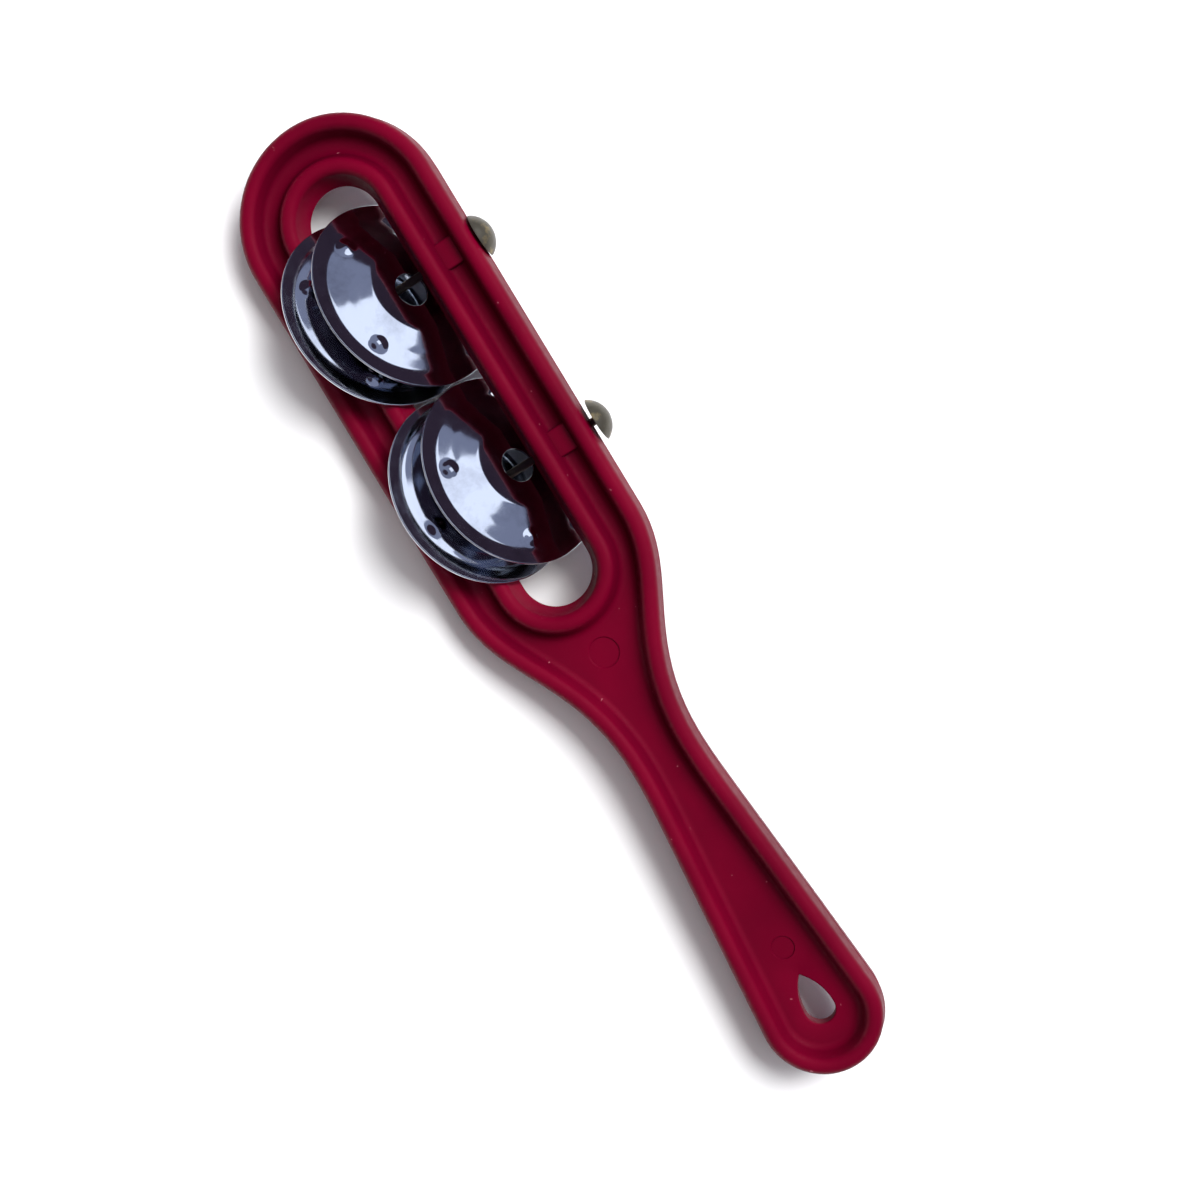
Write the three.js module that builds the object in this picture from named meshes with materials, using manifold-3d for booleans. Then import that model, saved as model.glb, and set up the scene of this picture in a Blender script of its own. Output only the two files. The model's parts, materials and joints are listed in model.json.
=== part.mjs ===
// A hand jingle: a moulded plastic stick with a long slot in its head, two nails driven across the
// slot from one side, and a pair of pressed steel jingles loose on each nail.
//
// Millimetres. The stick is drawn flat first: +X across it towards the nail caps, +Y along it towards
// the head, +Z out of its upper face, with the zero point on its middle plane at half its length.
// It is then rolled to the attitude in which it lies on a table, on one edge of the head and on the
// jingles, and the zero point moves to the middle of its footprint.

import * as THREE from 'three';
import { mergeVertices } from 'three/addons/utils/BufferGeometryUtils.js';
import Module from 'manifold-3d';

const wasm = await Module();
wasm.setup();

const { degToRad } = THREE.MathUtils;

// The jingles
const jingleDiameter = 40.2;
const jingleHole = 7;
const jingleSheet = 0.5;
const jingleDepth = 2; // from the flange up to the raised middle
const jingleTopDiameter = 15.8; // across the flat raised middle
const jingleFlangeWidth = 2.5;
const bumpCount = 4;
const bumpDiameter = 2.6;
const bumpHeight = 0.55;
const bumpInset = 2.85; // from the flange in to the middle of a bump

// The nails
const shankDiameter = 1.7;
const shankBite = 8; // how deep the shank goes into the far side of the slot
const shankPointLength = 3;
const shankHeadDiameter = 4.2;
const shankHeadThickness = 0.8;
const capDiameter = 9;
const capHeight = 2.8;
const capSheet = 0.5;
const capStandoff = { upper: 0.3, lower: 1.2 }; // the lower nail isn't driven home

// Across the stick
const headWidth = 42.8;
const slotWidth = 17.2;
const neckWidth = 15.6;
const gripWidth = 25.2; // across the round end
const gripFlare = degToRad(4.8); // how far each side of the grip leans out

// Along the stick
const slotUpperRoom = 5.1; // from the slot's upper end to the upper jingles, when they hang straight
const slotLowerRoom = 9.2; // from the lower jingles, when they hang straight, to the slot's lower end
const shoulderLead = 11; // from the end of the head's straight sides to the slot's lower end
const shoulderEase = 16; // how far the side runs on before it turns in
const neckLength = 34; // from the slot's lower end to the narrowest place
const neckEase = 22; // how far above the neck the side stays near its narrowest
const gripEase = 8; // the same below the neck
const gripLength = 72; // from the narrowest place to the grip's round end
const gripSide = 45; // how much of the grip's side is nearly straight

// The stick's section: rims joined by a web, with a hollow on each face
const stickThickness = 10;
const webThickness = 3;
const rimWidth = 4.1;
const slotRimWidth = 4.3;
const rimRound = 1.4; // radius of the rims' edges
const sideDraft = 0.3; // how far each side leans in from the parting line to a face
const nailPadLength = 5.8;
const nailPadThickness = 6.4;

// The teardrop hole for a hook
const hangHoleWidth = 6.2;
const hangHoleReach = 7.8; // from the middle of the round part to the point
const hangHoleInset = 13; // from the grip's round end to the middle of the round part

// How the jingles lie. The nail touches the lower edge of a back jingle's hole, some way round from
// its lowest place, which moves the pair along the stick.
const frontLean = degToRad(50); // from the stick's face
const backLean = degToRad(48);
const frontLift = 0.6; // how far a front jingle's middle lies above its nail, in its own plane
const nailBearing = { upper: degToRad(-50), lower: degToRad(22.5) };
const bumpTurns = { // how far each jingle is turned about its own middle
  upper: { front: degToRad(30), back: degToRad(52) },
  lower: { front: degToRad(69), back: degToRad(11) },
};

// Fits
const nailClearance = 0.25; // between a shank and its hole in the stick
const seatGap = 0.3; // between pieces that touch
const pairGap = 0.4; // between the upper and the lower jingles, as they lie
const cutMargin = 2; // how far a cutting shape runs past the face that it cuts

// How finely round shapes are divided
const outlineSteps = 10;
const jingleSides = 44;
const bumpSides = 10;
const bumpSteps = 3;
const capSides = 24;
const capSteps = 5;
const shankSides = 16;
const shankHeadSteps = 3;
const weldDistance = 0.0001;

// Finishes
const plastic = new THREE.MeshStandardMaterial({ color: '#8f0a2c', roughness: 0.38, metalness: 0 });
const platedSteel = new THREE.MeshStandardMaterial({ color: '#c9ccd2', roughness: 0.16, metalness: 1 });
const agedBrass = new THREE.MeshStandardMaterial({ color: '#77705a', roughness: 0.42, metalness: 1 });
const nailSteel = new THREE.MeshStandardMaterial({ color: '#5f5a52', roughness: 0.5, metalness: 1 });

const headRadius = headWidth / 2;
const slotRadius = slotWidth / 2;
const jingleRadius = jingleDiameter / 2;
const halfThickness = stickThickness / 2;
const halfSheet = jingleSheet / 2;

// The round at the edge of a slot wall: its middle, from the stick's middle line and middle plane
const slotEdge = { x: slotRadius + sideDraft + rimRound, z: halfThickness - rimRound };

// How far the nail can lie from the middle of a back jingle's hole, which it crosses at a slant
const nailReach = (shankDiameter / 2 + halfSheet * Math.cos(backLean)) / Math.sin(backLean);
const holePlay = jingleHole / 2 - nailReach - seatGap;
const pairShift = {
  upper: holePlay * Math.sin(nailBearing.upper),
  lower: holePlay * Math.sin(nailBearing.lower),
};

// A front jingle leans with its raised middle on the lower edge of the slot's near wall
function frontPlace() {
  const stand = rimRound + seatGap + halfSheet;
  const reach = (slotEdge.z * Math.cos(frontLean) + stand) / Math.sin(frontLean);
  return { lean: frontLean, across: slotEdge.x - reach, lift: frontLift };
}

// A back jingle lies with its flange on the upper edge of the slot's far wall
function backPlace(nail) {
  const stand = rimRound + seatGap + halfSheet + jingleDepth;
  const reach = (slotEdge.z * Math.cos(backLean) + stand) / Math.sin(backLean);
  return { lean: backLean, across: reach - slotEdge.x, lift: holePlay * Math.cos(nailBearing[nail]) };
}

const placeOf = {
  upper: { front: frontPlace(), back: backPlace('upper') },
  lower: { front: frontPlace(), back: backPlace('lower') },
};

// Distances along the stick, from the head's tip
const upperNail = headRadius - slotRadius + slotUpperRoom + jingleRadius;
const lowerNail = upperNail + jingleDiameter + pairGap + pairShift.lower - pairShift.upper;
const slotEnd = lowerNail + jingleRadius + slotLowerRoom;
const stickLength = slotEnd + neckLength + gripLength;

const fromTip = (distance) => stickLength / 2 - distance;
const headY = fromTip(headRadius);
const slotEndY = fromTip(slotEnd);
const gripEndY = fromTip(stickLength);
const nailY = { upper: fromTip(upperNail), lower: fromTip(lowerNail) };

function solidOf(geometry) {
  const bare = geometry.clone();
  bare.deleteAttribute('normal');
  bare.deleteAttribute('uv');
  const merged = mergeVertices(bare, weldDistance);
  return new wasm.Manifold(new wasm.Mesh({
    numProp: 3,
    vertProperties: new Float32Array(merged.attributes.position.array),
    triVerts: new Uint32Array(merged.index.array),
  }));
}

function geometryOf(solid) {
  const mesh = solid.getMesh();
  const geometry = new THREE.BufferGeometry();
  geometry.setAttribute('position', new THREE.BufferAttribute(new Float32Array(mesh.vertProperties), 3));
  geometry.setIndex(new THREE.BufferAttribute(new Uint32Array(mesh.triVerts), 1));
  geometry.computeVertexNormals();
  return geometry;
}

// The points of a closed path, anticlockwise, with neighbours that coincide made one
function outlineOf(path) {
  const points = path.getPoints(outlineSteps);
  return points.filter((point, i) => {
    const next = points[(i + 1) % points.length];
    return point.distanceTo(next) > weldDistance;
  });
}

// A closed outline, listed anticlockwise, moved inwards by a distance
function inset(outline, distance) {
  const count = outline.length;
  return outline.map((point, i) => {
    const before = point.clone().sub(outline[(i + count - 1) % count]).normalize();
    const after = outline[(i + 1) % count].clone().sub(point).normalize();
    const inward = new THREE.Vector2(-before.y - after.y, before.x + after.x);
    return point.clone().addScaledVector(inward, distance / (1 + before.dot(after)));
  });
}

// A closed body through copies of one outline, each at its own height and moved in by its own distance
function loft(outline, levels) {
  const count = outline.length;
  const positions = [];
  const indices = [];
  for (const [height, distance] of levels) {
    for (const point of inset(outline, distance)) positions.push(point.x, point.y, height);
  }
  for (let level = 0; level < levels.length - 1; level += 1) {
    for (let i = 0; i < count; i += 1) {
      const a = level * count + i;
      const b = level * count + ((i + 1) % count);
      indices.push(a, b, b + count, a, b + count, a + count);
    }
  }
  const last = (levels.length - 1) * count;
  for (const [a, b, c] of THREE.ShapeUtils.triangulateShape(outline, [])) {
    indices.push(c, b, a, last + a, last + b, last + c);
  }
  const geometry = new THREE.BufferGeometry();
  geometry.setAttribute('position', new THREE.Float32BufferAttribute(positions, 3));
  geometry.setIndex(indices);
  return geometry;
}

// Heights and insets of a wall with draft that ends in a rounded edge: 1 for an outer wall, -1 for a hole
function roundedEdge(direction) {
  const corner = rimRound * Math.SQRT1_2;
  return [
    [halfThickness - rimRound, sideDraft],
    [halfThickness - rimRound + corner, sideDraft + rimRound - corner],
    [halfThickness, sideDraft + rimRound],
  ].map(([height, distance]) => [height, direction * distance]);
}

function bothFaces(edge) {
  const lower = edge.map(([height, distance]) => [-height, distance]).reverse();
  return [...lower, [0, 0], ...edge];
}

function withMargin(levels, margin) {
  const [height, distance] = levels.at(-1);
  return [...levels, [height + margin, distance]];
}

function stickOutline() {
  const gripRadius = gripWidth / 2;
  const gripY = gripEndY + gripRadius;
  const shoulderY = slotEndY + shoulderLead;
  const neckY = slotEndY - neckLength;
  const neckX = neckWidth / 2;
  const touchX = gripRadius * Math.cos(gripFlare); // where the grip's side meets its round end
  const touchY = gripY + gripRadius * Math.sin(gripFlare);
  const flareX = touchX - gripSide * Math.tan(gripFlare);
  const flareY = touchY + gripSide;
  const turnY = shoulderY - shoulderEase;
  const path = new THREE.Path();
  path.absarc(0, headY, headRadius, 0, Math.PI, false);
  path.lineTo(-headRadius, shoulderY);
  path.bezierCurveTo(-headRadius, turnY, -neckX, neckY + neckEase, -neckX, neckY);
  path.bezierCurveTo(-neckX, neckY - gripEase, -flareX, flareY, -touchX, touchY);
  path.absarc(0, gripY, gripRadius, Math.PI - gripFlare, gripFlare, false);
  path.bezierCurveTo(flareX, flareY, neckX, neckY - gripEase, neckX, neckY);
  path.bezierCurveTo(neckX, neckY + neckEase, headRadius, turnY, headRadius, shoulderY);
  path.closePath();
  return outlineOf(path);
}

function slotOutline() {
  const path = new THREE.Path();
  path.absarc(0, headY, slotRadius, 0, Math.PI, false);
  path.absarc(0, slotEndY + slotRadius, slotRadius, Math.PI, 2 * Math.PI, false);
  path.closePath();
  return outlineOf(path);
}

function hangHoleOutline() {
  const radius = hangHoleWidth / 2;
  const middleY = gripEndY + hangHoleInset;
  const side = Math.asin(radius / hangHoleReach); // where the straight sides touch the round part
  const path = new THREE.Path();
  path.absarc(0, middleY, radius, Math.PI - side, side, false);
  path.lineTo(0, middleY + hangHoleReach);
  path.closePath();
  return outlineOf(path);
}

// A block across the hollow at a nail, from the middle of the slot's rim to the middle of the outer rim
function nailPad(side, y) {
  const fromX = slotRadius + slotRimWidth / 2;
  const toX = headRadius - rimWidth / 2;
  const pad = new THREE.BoxGeometry(toX - fromX, nailPadLength, nailPadThickness);
  return solidOf(pad.translate(side * (fromX + toX) / 2, y, 0));
}

// The hole that a nail makes: right through the near side of the slot and blind in the far side
function nailBore(y) {
  const radius = shankDiameter / 2 + nailClearance;
  const fromX = -slotRadius - shankBite - seatGap;
  const toX = headRadius + cutMargin;
  const bore = new THREE.CylinderGeometry(radius, radius, toX - fromX, shankSides);
  return solidOf(bore.rotateZ(Math.PI / 2).translate((fromX + toX) / 2, y, 0));
}

function handleFrame() {
  const outline = stickOutline();
  const slot = slotOutline();
  const outerEdge = roundedEdge(1);
  const holeEdge = roundedEdge(-1);

  // The hollow of one face lies inside the outer rim and outside the slot's rim
  const hollowLevels = withMargin([[webThickness / 2, 0], ...holeEdge], cutMargin);
  const slotRimLevels = withMargin([[0, 0], ...outerEdge], 2 * cutMargin);
  const slotRim = solidOf(loft(inset(slot, -slotRimWidth), slotRimLevels));
  const upperHollow = solidOf(loft(inset(outline, rimWidth), hollowLevels)).subtract(slotRim);
  const lowerHollow = upperHollow.rotate([0, 180, 0]);
  let frame = solidOf(loft(outline, bothFaces(outerEdge))).subtract(upperHollow).subtract(lowerHollow);
  for (const y of Object.values(nailY)) frame = frame.add(nailPad(1, y)).add(nailPad(-1, y));

  const holeTop = webThickness / 2 + cutMargin;
  frame = frame
    .subtract(solidOf(loft(slot, bothFaces(withMargin(holeEdge, cutMargin)))))
    .subtract(solidOf(loft(hangHoleOutline(), [[-holeTop, 0], [holeTop, 0]])));
  for (const y of Object.values(nailY)) frame = frame.subtract(nailBore(y));
  return geometryOf(frame);
}

function lathe(profile, sides) {
  const points = profile.map(([x, y]) => new THREE.Vector2(x, y));
  return new THREE.LatheGeometry(points, sides);
}

function domeRadius(baseRadius, height) {
  return (baseRadius ** 2 + height ** 2) / (2 * height);
}

// Points of a dome of a given height, whose base lies at a given level, from its edge to its top
function domeProfile(baseRadius, height, level, steps) {
  const radius = domeRadius(baseRadius, height);
  const halfAngle = Math.asin(baseRadius / radius);
  return Array.from({ length: steps + 1 }, (_, i) => {
    const angle = halfAngle * (1 - i / steps);
    return [radius * Math.sin(angle), radius * Math.cos(angle) - radius + height + level];
  });
}

// A nail cap stands on the XZ plane with its dome towards +Y
function nailCap() {
  const outer = domeProfile(capDiameter / 2, capHeight, 0, capSteps);
  const inner = domeProfile(capDiameter / 2 - capSheet, capHeight - capSheet, 0, capSteps);
  return lathe([...outer, ...inner.reverse(), outer[0]], capSides);
}

// A nail shank along +Y, its top at zero: the point, the wire and the low head under the cap
function nailShank(length) {
  const wire = shankDiameter / 2;
  const head = shankHeadDiameter / 2;
  const dome = domeRadius(capDiameter / 2 - capSheet, capHeight - capSheet) - seatGap;
  const crown = dome - Math.sqrt(dome ** 2 - head ** 2);
  return lathe([
    [0, -length],
    [wire, shankPointLength - length],
    [wire, -crown - shankHeadThickness],
    [head, -crown - shankHeadThickness],
    ...domeProfile(head, crown, -crown, shankHeadSteps),
  ], shankSides);
}

// A jingle lies in the XY plane with its raised middle towards +Z
function jingle() {
  const slopeStart = jingleTopDiameter / 2;
  const slopeEnd = jingleRadius - jingleFlangeWidth;
  const middle = [
    [jingleHole / 2, 0],
    [slopeStart, 0],
    [slopeEnd, -jingleDepth],
    [jingleRadius, -jingleDepth],
  ];
  const top = middle.map(([x, y]) => [x, y + halfSheet]);
  const under = middle.map(([x, y]) => [x, y - halfSheet]);
  let sheet = solidOf(lathe([...under, ...top.reverse(), under[0]], jingleSides).rotateX(Math.PI / 2));

  // Bumps stand square to the slope, each pressed up from a dent below
  const slope = Math.atan2(jingleDepth, slopeEnd - slopeStart);
  const bumpReach = slopeEnd - bumpInset;
  const bumpZ = -(bumpReach - slopeStart) * Math.tan(slope);
  const face = halfSheet * Math.cos(slope);
  const bumpRadius = bumpDiameter / 2;
  const dentRadius = bumpRadius - halfSheet;
  const dentFoot = -face - cutMargin;
  const bumpTop = domeProfile(bumpRadius, bumpHeight, face, bumpSteps);
  const dentTop = domeProfile(dentRadius, bumpHeight, -face, bumpSteps);
  const bump = [[0, 0], [bumpRadius, 0], ...bumpTop];
  const dent = [[0, dentFoot], [dentRadius, dentFoot], ...dentTop];
  for (let i = 0; i < bumpCount; i += 1) {
    const onSlope = (profile) => solidOf(lathe(profile, bumpSides)
      .rotateX(Math.PI / 2)
      .rotateY(slope)
      .translate(bumpReach, 0, bumpZ)
      .rotateZ((2 * Math.PI * i) / bumpCount));
    sheet = sheet.add(onSlope(bump)).subtract(onSlope(dent));
  }
  return geometryOf(sheet);
}

function piece(name, geometry, material) {
  const mesh = new THREE.Mesh(geometry, material);
  mesh.name = name;
  return mesh;
}

const stick = new THREE.Group();
stick.add(piece('handle_frame', handleFrame(), plastic));

const jingleGeometry = jingle();
for (const nail of ['upper', 'lower']) {
  const capX = headRadius + capStandoff[nail];
  const shankTopX = capX + capHeight - capSheet - seatGap;
  const cap = piece(`${nail}_nail_cap`, nailCap(), agedBrass);
  cap.position.set(capX, nailY[nail], 0);
  cap.rotation.z = -Math.PI / 2;
  const shank = piece(`${nail}_nail_shank`, nailShank(shankTopX + slotRadius + shankBite), nailSteel);
  shank.position.set(shankTopX, nailY[nail], 0);
  shank.rotation.z = -Math.PI / 2;
  stick.add(cap, shank);

  for (const side of ['front', 'back']) {
    const { lean, across, lift } = placeOf[nail][side];
    const turned = jingleGeometry.clone().rotateZ(bumpTurns[nail][side]);
    const disc = piece(`${nail}_${side}_jingle`, turned, platedSteel);
    const discX = across - lift * Math.cos(lean);
    disc.position.set(discX, nailY[nail] + pairShift[nail], lift * Math.sin(lean));
    disc.rotation.y = lean;
    stick.add(disc);
  }
}

// The roll at which a table touches both the rounded lower edge of the head and a jingle's low edge
function restingRoll({ across, lift, lean }) {
  const drop = jingleDepth + halfSheet;
  const reach = jingleRadius - lift;
  const lowX = across - drop * Math.sin(lean) + reach * Math.cos(lean);
  const lowZ = -drop * Math.cos(lean) - reach * Math.sin(lean);
  const overX = lowX + headRadius - sideDraft - rimRound;
  const overZ = lowZ + halfThickness - rimRound;
  return -Math.atan2(overZ, overX) - Math.asin(rimRound / Math.hypot(overX, overZ));
}

const places = Object.values(placeOf).flatMap(Object.values);
stick.rotation.y = -Math.max(...places.map(restingRoll));
const footprint = new THREE.Box3().setFromObject(stick, true);
const footprintMiddle = footprint.getCenter(new THREE.Vector3());
stick.position.set(-footprintMiddle.x, -footprintMiddle.y, -footprint.min.z);

const handJingle = new THREE.Group();
handJingle.add(stick);
handJingle.updateMatrixWorld(true);

export default handJingle;
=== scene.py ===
"""A hand jingle: a moulded plastic stick with pressed steel jingles on two nails."""

import json
import math

import bmesh
import bpy
from bpy.props import FloatProperty, FloatVectorProperty, PointerProperty
from mathutils import Matrix, Vector
from mathutils.geometry import interpolate_bezier


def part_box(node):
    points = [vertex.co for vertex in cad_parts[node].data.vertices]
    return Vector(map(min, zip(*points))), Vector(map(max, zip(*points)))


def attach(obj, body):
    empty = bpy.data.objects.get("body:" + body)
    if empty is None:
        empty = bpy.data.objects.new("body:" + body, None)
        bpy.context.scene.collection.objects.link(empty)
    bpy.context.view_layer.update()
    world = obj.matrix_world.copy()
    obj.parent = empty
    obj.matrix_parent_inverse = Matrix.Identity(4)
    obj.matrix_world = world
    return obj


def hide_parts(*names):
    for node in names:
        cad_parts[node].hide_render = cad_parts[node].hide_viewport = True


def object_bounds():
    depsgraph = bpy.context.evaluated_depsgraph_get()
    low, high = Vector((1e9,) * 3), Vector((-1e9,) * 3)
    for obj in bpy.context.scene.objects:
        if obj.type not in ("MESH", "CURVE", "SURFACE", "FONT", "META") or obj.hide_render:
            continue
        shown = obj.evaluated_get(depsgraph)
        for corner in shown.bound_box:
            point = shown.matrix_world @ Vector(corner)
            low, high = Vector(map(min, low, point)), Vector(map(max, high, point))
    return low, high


bl_info = {
    "name": "Hand Jingle",
    "version": (1, 0, 0),
    "blender": (4, 5, 0),
    "location": "View3D > Sidebar > Hand Jingle",
    "description": "Builds a plastic jingle stick with its nails, jingles and studio",
    "category": "Add Mesh",
}

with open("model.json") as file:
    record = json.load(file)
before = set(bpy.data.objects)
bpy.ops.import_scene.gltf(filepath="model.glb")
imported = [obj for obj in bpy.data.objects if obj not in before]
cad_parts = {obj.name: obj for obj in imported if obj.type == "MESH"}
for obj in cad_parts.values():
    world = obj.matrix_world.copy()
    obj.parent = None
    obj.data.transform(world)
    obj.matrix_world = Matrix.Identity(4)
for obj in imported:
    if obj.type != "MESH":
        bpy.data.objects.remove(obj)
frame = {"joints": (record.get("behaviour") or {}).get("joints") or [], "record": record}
CAD_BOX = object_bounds()

MM = 0.001
NAILS = ("upper", "lower")
SIDES = ("front", "back")
BUMP_COUNT = 4
BUMP_TURNS = {  # how far each jingle has turned on its nail, in degrees
    ("upper", "front"): 30, ("upper", "back"): 52, ("lower", "front"): 69, ("lower", "back"): 11,
}

# Marks that ejector pins left on the hollow's floor: place along the stick and radius
PIN_MARKS = ((-12.6 * MM, 3.2 * MM), (-80.9 * MM, 2.4 * MM))
PIN_MARK_TAPER = 0.93  # size of a pin mark's floor against its edge

# How full the hang hole's sides are and how sharp its tip is, as shares of its reach and radius
HOLE_FULLNESS = 0.45
HOLE_TIP_WIDTH = 0.55
HOLE_TIP_DROP = 0.24

# Angles past which an edge is kept sharp or is rounded
SMOOTH_ANGLE = math.radians(32)
CAP_EDGE_ANGLE = math.radians(40)
CUT_EDGE_ANGLE = math.radians(50)
MERGE_DISTANCE = 0.001 * MM

SENSOR_WIDTH = 36  # of the camera, in millimetres
NEAR_CLIP = 10 * MM

# How finely round shapes are divided
CURVE_STEPS = 22
ROUND_STEPS = 6
FILLET_STEPS = 6
DISC_STEPS = 288
DISC_STEP_LENGTH = 0.22 * MM
CAP_STEPS = 64
CAP_CURVE_STEPS = 16
WIRE_STEPS = 32
EDGE_SEGMENTS = 3
CUT_EDGE_SEGMENTS = 2


def arc_handle(turn):
    """Length of the handles that bend a curve of unit radius through a turn."""
    return 4 / 3 * math.tan(turn / 4)


QUARTER_ARC = arc_handle(math.pi / 2)


def mount_point(name):
    mount = next(m for m in frame["record"]["mounts"] if m["name"] == name)
    return Vector(mount["pos_m"]), Vector(mount["axis"])


def stick_frame():
    """The stick lies rolled: its own +Z is out of its upper face and its zero is on its middle plane."""
    upper, normal = mount_point("grip_web_face")
    under, _ = mount_point("grip_web_under")
    middle = (upper + under) / 2
    roll = math.atan2(-normal.x, normal.z)
    return Matrix.Translation((middle.x, 0, middle.z)) @ Matrix.Rotation(-roll, 4, "Y")


STICK = stick_frame()
WEB_HALF = (mount_point("grip_web_face")[0] - mount_point("grip_web_under")[0]).length / 2
STICK_LENGTH = CAD_BOX[1].y - CAD_BOX[0].y


def in_stick(point):
    return STICK.inverted() @ Vector(point)


def nail_y(nail):
    low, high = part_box(f"{nail}_nail_cap")
    return (low.y + high.y) / 2


def swing_place(nail, side):
    """Where a jingle's sheet crosses its nail, in the stick's own frame."""
    joint = next(j for j in frame["joints"] if j["name"] == f"{nail}_{side}_swing")
    return in_stick(joint["pos_m"])


def linear(hex_colour):
    """An sRGB hex colour as linear red, green and blue."""
    channels = [int(hex_colour[i:i + 2], 16) / 255 for i in (1, 3, 5)]
    return tuple(c / 12.92 if c <= 0.04045 else ((c + 0.055) / 1.055) ** 2.4 for c in channels)


def length(name, description, millimetres):
    return FloatProperty(
        name=name, description=description, default=millimetres * MM,
        subtype="DISTANCE", unit="LENGTH",
    )


def angle(name, description, degrees):
    return FloatProperty(
        name=name, description=description, default=math.radians(degrees),
        subtype="ANGLE", unit="ROTATION",
    )


def colour(name, description, hex_colour):
    return FloatVectorProperty(
        name=name, description=description, default=linear(hex_colour),
        size=3, min=0, max=1, subtype="COLOR",
    )


class StickSizes(bpy.types.PropertyGroup):
    """Sizes of the moulded stick"""

    head_width: length("Head width", "Across the head", 42.8)
    slot_width: length("Slot width", "Across the slot", 17.2)
    slot_draft: length("Slot draft", "How far the slot narrows to the parting line, on each side", 1.1)
    slot_end: length("Slot end", "From the head's tip to the slot's lower end", 110)
    shoulder: length("Shoulder", "From the head's tip to the end of its straight sides", 99)
    shoulder_ease: length("Shoulder ease", "How far the side runs on before it turns in", 16)
    neck: length("Neck", "From the head's tip to the narrowest place", 144)
    neck_width: length("Neck width", "Across the narrowest place", 15.6)
    neck_ease: length("Neck ease", "How long the side stays narrow above the neck", 22)
    grip_ease: length("Grip ease", "How long the side stays narrow below the neck", 8)
    grip_width: length("Grip width", "Across the grip's round end", 25.2)
    grip_side: length("Grip side", "How much of the grip's side is nearly straight", 45)
    grip_flare: angle("Grip flare", "How far each side of the grip leans out", 4.8)
    thickness: length("Thickness", "From face to face", 10)
    rim_width: length("Rim width", "From the stick's edge to the inner wall", 3.9)
    rim_round: length("Rim round", "Radius of the rims' edges", 1.7)
    flash: length("Flash", "How far the mould's parting line stands out round the stick", 0.09)
    side_draft: length("Side draft", "How far each side leans in towards a face", 0.3)
    wall_angle: angle("Wall angle", "Between a rim's inner wall and the hollow's floor", 66)
    floor_fillet: length("Floor fillet", "Radius between a rim and the hollow's floor", 1.7)
    hole_width: length("Hang hole width", "Across the hang hole", 6.2)
    hole_reach: length("Hang hole reach", "From the middle of the hang hole to its point", 7.8)
    hole_inset: length("Hang hole inset", "From the grip's end to the middle of the hang hole", 13)
    hole_edge: length("Hang hole edge", "Rounding of the hang hole's edge", 0.35)
    pad_length: length("Nail pad length", "Along the stick", 5.8)
    pad_thickness: length("Nail pad thickness", "From face to face", 5.2)
    pad_round: length("Nail pad round", "Rounding of a nail pad's edges", 0.45)
    pin_mark_depth: length("Pin mark depth", "How deep the ejector pins left their marks", 0.22)


class NailSizes(bpy.types.PropertyGroup):
    """Sizes of the nails"""

    cap_diameter: length("Cap diameter", "Across the domed cap", 9)
    cap_height: length("Cap height", "From the cap's edge to its top", 2.8)
    cap_sheet: length("Cap sheet", "Thickness of the cap", 0.5)
    cap_edge: length("Cap edge", "Rounding of the cap's edge", 0.15)
    upper_standoff: length("Upper standoff", "Between the stick and the upper cap", 0.3)
    lower_standoff: length("Lower standoff", "Between the stick and the lower cap", 1.2)
    wire_diameter: length("Wire diameter", "Across the shank", 1.7)
    point_length: length("Point length", "Of the tapered end", 3)
    bite: length("Bite", "How deep the shank goes into the far side of the slot", 8)
    seat: length("Seat", "Between the shank's head and the cap", 0.3)
    head_diameter: length("Head diameter", "Across the shank's head, inside the cap", 4.2)
    head_thickness: length("Head thickness", "Of the shank's head", 0.8)


class JingleSizes(bpy.types.PropertyGroup):
    """Sizes of the jingles, and how they lie"""

    diameter: length("Diameter", "Across a jingle", 40.2)
    hole: length("Hole", "Across the hole", 7)
    sheet: length("Sheet", "Thickness of the steel", 0.5)
    depth: length("Depth", "From the flange up to the raised middle", 2)
    top: length("Top", "Across the flat raised middle", 15.8)
    bend_run: length("Bend run", "How far each bend of the slope reaches", 1.2)
    ring: length("Ring", "Across the faint ring pressed into the slope", 27)
    ring_depth: length("Ring depth", "Of the ring", 0.025)
    ring_width: length("Ring width", "Of the ring", 1.6)
    flange: length("Flange", "Width of the flange", 2.5)
    bump_diameter: length("Bump diameter", "Across a bump", 4.6)
    bump_height: length("Bump height", "Of a bump", 0.45)
    bump_circle: length("Bump circle", "Across the ring that the bumps stand on", 29.5)
    edge_round: length("Edge round", "Rounding of the cut edges", 0.14)
    front_lean: angle("Front lean", "Lean of a front jingle from the stick's face", 50)
    back_lean: angle("Back lean", "Lean of a back jingle from the stick's face", 48)
    front_lift: length("Front lift", "How far a front jingle's middle lies above its nail", 0.6)
    upper_back_lift: length("Upper back lift", "The same for the upper back jingle", 1.177)
    lower_back_lift: length("Lower back lift", "The same for the lower back jingle", 1.692)


class Finishes(bpy.types.PropertyGroup):
    """Colours of the object"""

    plastic: colour("Plastic", "The moulded stick", "#700021")
    # This dark colour serves both for dirt in patches and for painted shade in the hollows
    plastic_dirt_and_shade: colour("Plastic, dark", "Where dirt has settled in the plastic", "#3e0012")
    plastic_nick: colour("Plastic, nicked", "Small pale nicks in the plastic", "#b86a76")
    steel: colour("Plate", "Bright plate on the jingles", "#cfd4dc")
    steel_dull: colour("Plate, dulled", "Where the plate is dulled", "#8e8f96")
    brass: colour("Brass", "Tarnished caps", "#58544a")
    brass_worn: colour("Brass, worn", "Where the caps are rubbed bright", "#94835a")
    wire: colour("Wire", "The nails' shanks", "#6a645a")


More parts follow.
